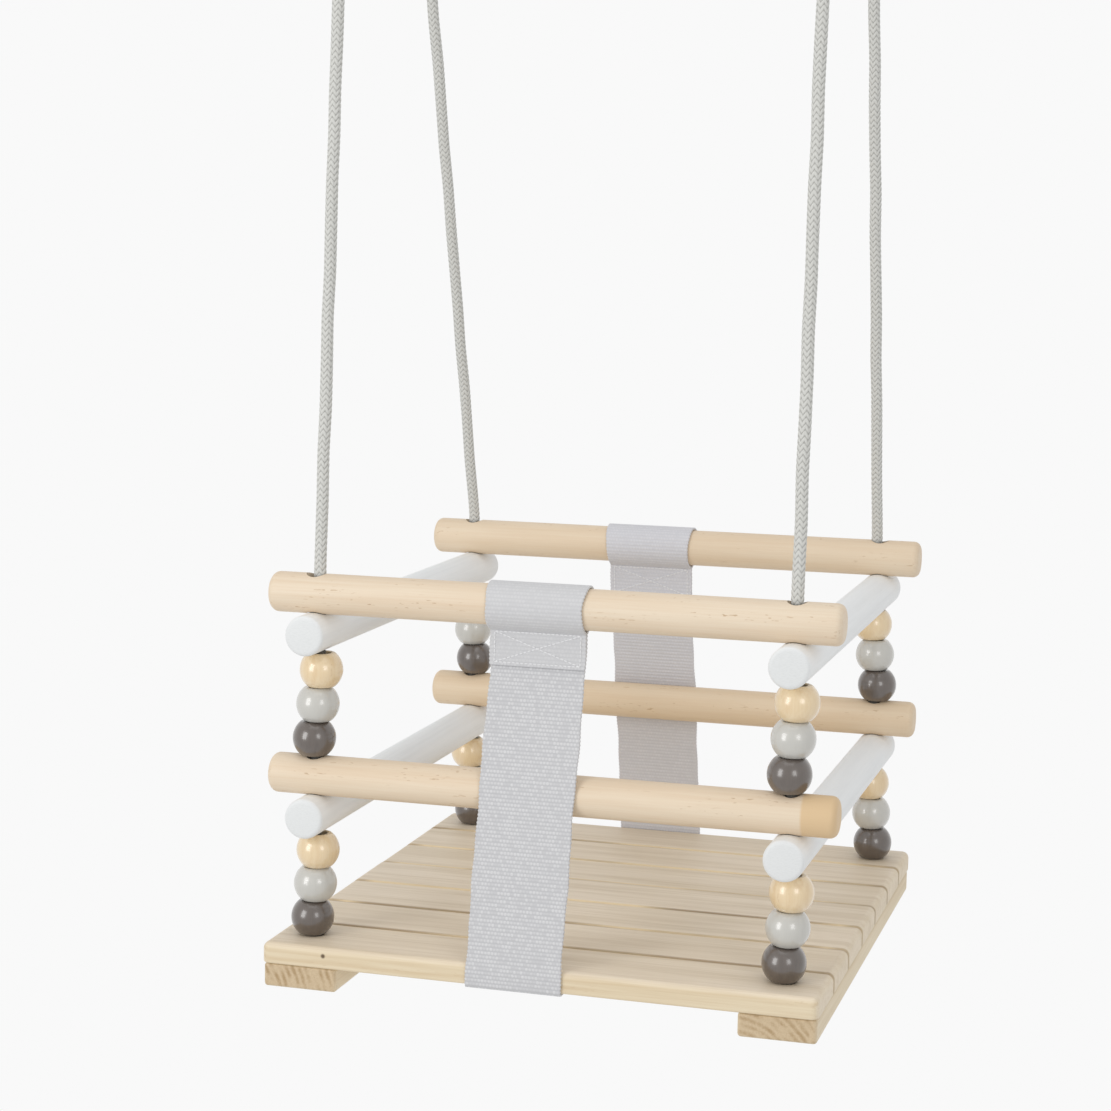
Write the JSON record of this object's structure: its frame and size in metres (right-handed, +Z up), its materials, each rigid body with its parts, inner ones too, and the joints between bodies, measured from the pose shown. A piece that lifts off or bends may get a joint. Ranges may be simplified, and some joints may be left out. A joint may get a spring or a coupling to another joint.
{
  "type": "toddler swing",
  "caption": "Wooden toddler swing: slatted seat in a cage of round rods and beads on knotted ropes, with a webbing strap between the legs, hung from steel rings.",
  "frame": {"origin": "hanging point: midway between the two rings, level with the inside of their tops, where a pair of hooks bears", "axes": "+X from the sitter's right to the sitter's left (left to right in the picture), +Y from the seat's front to its back, +Z up"},
  "size_m": [0.347, 0.364, 1.0569],
  "materials": {
    "slat_wood": "satin",
    "beech": "satin",
    "white_paint": "satin",
    "bead_natural": "gloss",
    "bead_grey": "gloss",
    "bead_dark": "gloss",
    "rope": "matte",
    "webbing": "matte",
    "steel": "satin"
  },
  "bodies": {
    "hangers": {"ring_left": "steel", "ring_right": "steel"},
    "swing": {"slat_1": "slat_wood", "slat_2": "slat_wood", "slat_3": "slat_wood", "slat_4": "slat_wood", "slat_5": "slat_wood", "slat_6": "slat_wood", "slat_7": "slat_wood", "batten_left": "slat_wood", "batten_right": "slat_wood", "beech_rod_lower_front": "beech", "beech_rod_lower_back": "beech", "beech_rod_upper_front": "beech", "beech_rod_upper_back": "beech", "white_rod_lower_left": "white_paint", "white_rod_lower_right": "white_paint", "white_rod_upper_left": "white_paint", "white_rod_upper_right": "white_paint", "rope_front_left": "rope", "rope_front_right": "rope", "rope_back_left": "rope", "rope_back_right": "rope", "stopper_knot_front_left": "rope", "stopper_knot_front_right": "rope", "stopper_knot_back_left": "rope", "stopper_knot_back_right": "rope", "loop_knot_front_left": "rope", "loop_knot_front_right": "rope", "loop_knot_back_left": "rope", "loop_knot_back_right": "rope", "strap": "webbing"},
    "bead_front_left_lower_dark": {"bead_front_left_lower_dark": "bead_dark"},
    "bead_front_left_lower_grey": {"bead_front_left_lower_grey": "bead_grey"},
    "bead_front_left_lower_natural": {"bead_front_left_lower_natural": "bead_natural"},
    "bead_front_left_upper_dark": {"bead_front_left_upper_dark": "bead_dark"},
    "bead_front_left_upper_grey": {"bead_front_left_upper_grey": "bead_grey"},
    "bead_front_left_upper_natural": {"bead_front_left_upper_natural": "bead_natural"},
    "bead_front_right_lower_dark": {"bead_front_right_lower_dark": "bead_dark"},
    "bead_front_right_lower_grey": {"bead_front_right_lower_grey": "bead_grey"},
    "bead_front_right_lower_natural": {"bead_front_right_lower_natural": "bead_natural"},
    "bead_front_right_upper_dark": {"bead_front_right_upper_dark": "bead_dark"},
    "bead_front_right_upper_grey": {"bead_front_right_upper_grey": "bead_grey"},
    "bead_front_right_upper_natural": {"bead_front_right_upper_natural": "bead_natural"},
    "bead_back_left_lower_dark": {"bead_back_left_lower_dark": "bead_dark"},
    "bead_back_left_lower_grey": {"bead_back_left_lower_grey": "bead_grey"},
    "bead_back_left_lower_natural": {"bead_back_left_lower_natural": "bead_natural"},
    "bead_back_left_upper_dark": {"bead_back_left_upper_dark": "bead_dark"},
    "bead_back_left_upper_grey": {"bead_back_left_upper_grey": "bead_grey"},
    "bead_back_left_upper_natural": {"bead_back_left_upper_natural": "bead_natural"},
    "bead_back_right_lower_dark": {"bead_back_right_lower_dark": "bead_dark"},
    "bead_back_right_lower_grey": {"bead_back_right_lower_grey": "bead_grey"},
    "bead_back_right_lower_natural": {"bead_back_right_lower_natural": "bead_natural"},
    "bead_back_right_upper_dark": {"bead_back_right_upper_dark": "bead_dark"},
    "bead_back_right_upper_grey": {"bead_back_right_upper_grey": "bead_grey"},
    "bead_back_right_upper_natural": {"bead_back_right_upper_natural": "bead_natural"}
  },
  "joints": [
    {"name": "swing", "type": "hinge", "parent": "hangers", "child": "swing", "pos_m": [0, 0, -0.0495], "axis": [1, 0, 0], "range_deg": [-45, 45]},
    {"name": "bead_front_left_lower_dark_spin", "type": "hinge", "parent": "swing", "child": "bead_front_left_lower_dark", "pos_m": [-0.1451, -0.15193, -0.9844], "axis": [0, 0.086, 0.9963], "continuous": true},
    {"name": "bead_front_left_lower_grey_spin", "type": "hinge", "parent": "swing", "child": "bead_front_left_lower_grey", "pos_m": [-0.1435, -0.15015, -0.96378], "axis": [0, 0.086, 0.9963], "continuous": true},
    {"name": "bead_front_left_lower_natural_spin", "type": "hinge", "parent": "swing", "child": "bead_front_left_lower_natural", "pos_m": [-0.1419, -0.14837, -0.94315], "axis": [0, 0.086, 0.9963], "continuous": true},
    {"name": "bead_front_left_upper_dark_spin", "type": "hinge", "parent": "swing", "child": "bead_front_left_upper_dark", "pos_m": [-0.14453, -0.14255, -0.87565], "axis": [0, 0.086, 0.9963], "continuous": true},
    {"name": "bead_front_left_upper_grey_spin", "type": "hinge", "parent": "swing", "child": "bead_front_left_upper_grey", "pos_m": [-0.1424, -0.14077, -0.85503], "axis": [0, 0.086, 0.9963], "continuous": true},
    {"name": "bead_front_left_upper_natural_spin", "type": "hinge", "parent": "swing", "child": "bead_front_left_upper_natural", "pos_m": [-0.14027, -0.13899, -0.83441], "axis": [0, 0.086, 0.9963], "continuous": true},
    {"name": "bead_front_right_lower_dark_spin", "type": "hinge", "parent": "swing", "child": "bead_front_right_lower_dark", "pos_m": [0.1419, -0.15193, -0.9844], "axis": [0, 0.086, 0.9963], "continuous": true},
    {"name": "bead_front_right_lower_grey_spin", "type": "hinge", "parent": "swing", "child": "bead_front_right_lower_grey", "pos_m": [0.1435, -0.15015, -0.96378], "axis": [0, 0.086, 0.9963], "continuous": true},
    {"name": "bead_front_right_lower_natural_spin", "type": "hinge", "parent": "swing", "child": "bead_front_right_lower_natural", "pos_m": [0.1451, -0.14837, -0.94315], "axis": [0, 0.086, 0.9963], "continuous": true},
    {"name": "bead_front_right_upper_dark_spin", "type": "hinge", "parent": "swing", "child": "bead_front_right_upper_dark", "pos_m": [0.1419, -0.14255, -0.87565], "axis": [0, 0.086, 0.9963], "continuous": true},
    {"name": "bead_front_right_upper_grey_spin", "type": "hinge", "parent": "swing", "child": "bead_front_right_upper_grey", "pos_m": [0.1435, -0.14077, -0.85503], "axis": [0, 0.086, 0.9963], "continuous": true},
    {"name": "bead_front_right_upper_natural_spin", "type": "hinge", "parent": "swing", "child": "bead_front_right_upper_natural", "pos_m": [0.1451, -0.13899, -0.83441], "axis": [0, 0.086, 0.9963], "continuous": true},
    {"name": "bead_back_left_lower_dark_spin", "type": "hinge", "parent": "swing", "child": "bead_back_left_lower_dark", "pos_m": [-0.1419, 0.14497, -1.01002], "axis": [0, 0.086, 0.9963], "continuous": true},
    {"name": "bead_back_left_lower_grey_spin", "type": "hinge", "parent": "swing", "child": "bead_back_left_lower_grey", "pos_m": [-0.1435, 0.14675, -0.98939], "axis": [0, 0.086, 0.9963], "continuous": true},
    {"name": "bead_back_left_lower_natural_spin", "type": "hinge", "parent": "swing", "child": "bead_back_left_lower_natural", "pos_m": [-0.1451, 0.14853, -0.96877], "axis": [0, 0.086, 0.9963], "continuous": true},
    {"name": "bead_back_left_upper_dark_spin", "type": "hinge", "parent": "swing", "child": "bead_back_left_upper_dark", "pos_m": [-0.1419, 0.15435, -0.90127], "axis": [0, 0.086, 0.9963], "continuous": true},
    {"name": "bead_back_left_upper_grey_spin", "type": "hinge", "parent": "swing", "child": "bead_back_left_upper_grey", "pos_m": [-0.1435, 0.15613, -0.88065], "axis": [0, 0.086, 0.9963], "continuous": true},
    {"name": "bead_back_left_upper_natural_spin", "type": "hinge", "parent": "swing", "child": "bead_back_left_upper_natural", "pos_m": [-0.1451, 0.15791, -0.86003], "axis": [0, 0.086, 0.9963], "continuous": true},
    {"name": "bead_back_right_lower_dark_spin", "type": "hinge", "parent": "swing", "child": "bead_back_right_lower_dark", "pos_m": [0.1451, 0.14497, -1.01002], "axis": [0, 0.086, 0.9963], "continuous": true},
    {"name": "bead_back_right_lower_grey_spin", "type": "hinge", "parent": "swing", "child": "bead_back_right_lower_grey", "pos_m": [0.1435, 0.14675, -0.98939], "axis": [0, 0.086, 0.9963], "continuous": true},
    {"name": "bead_back_right_lower_natural_spin", "type": "hinge", "parent": "swing", "child": "bead_back_right_lower_natural", "pos_m": [0.1419, 0.14853, -0.96877], "axis": [0, 0.086, 0.9963], "continuous": true},
    {"name": "bead_back_right_upper_dark_spin", "type": "hinge", "parent": "swing", "child": "bead_back_right_upper_dark", "pos_m": [0.14453, 0.15435, -0.90127], "axis": [0, 0.086, 0.9963], "continuous": true},
    {"name": "bead_back_right_upper_grey_spin", "type": "hinge", "parent": "swing", "child": "bead_back_right_upper_grey", "pos_m": [0.1424, 0.15613, -0.88065], "axis": [0, 0.086, 0.9963], "continuous": true},
    {"name": "bead_back_right_upper_natural_spin", "type": "hinge", "parent": "swing", "child": "bead_back_right_upper_natural", "pos_m": [0.14027, 0.15791, -0.86003], "axis": [0, 0.086, 0.9963], "continuous": true}
  ]
}
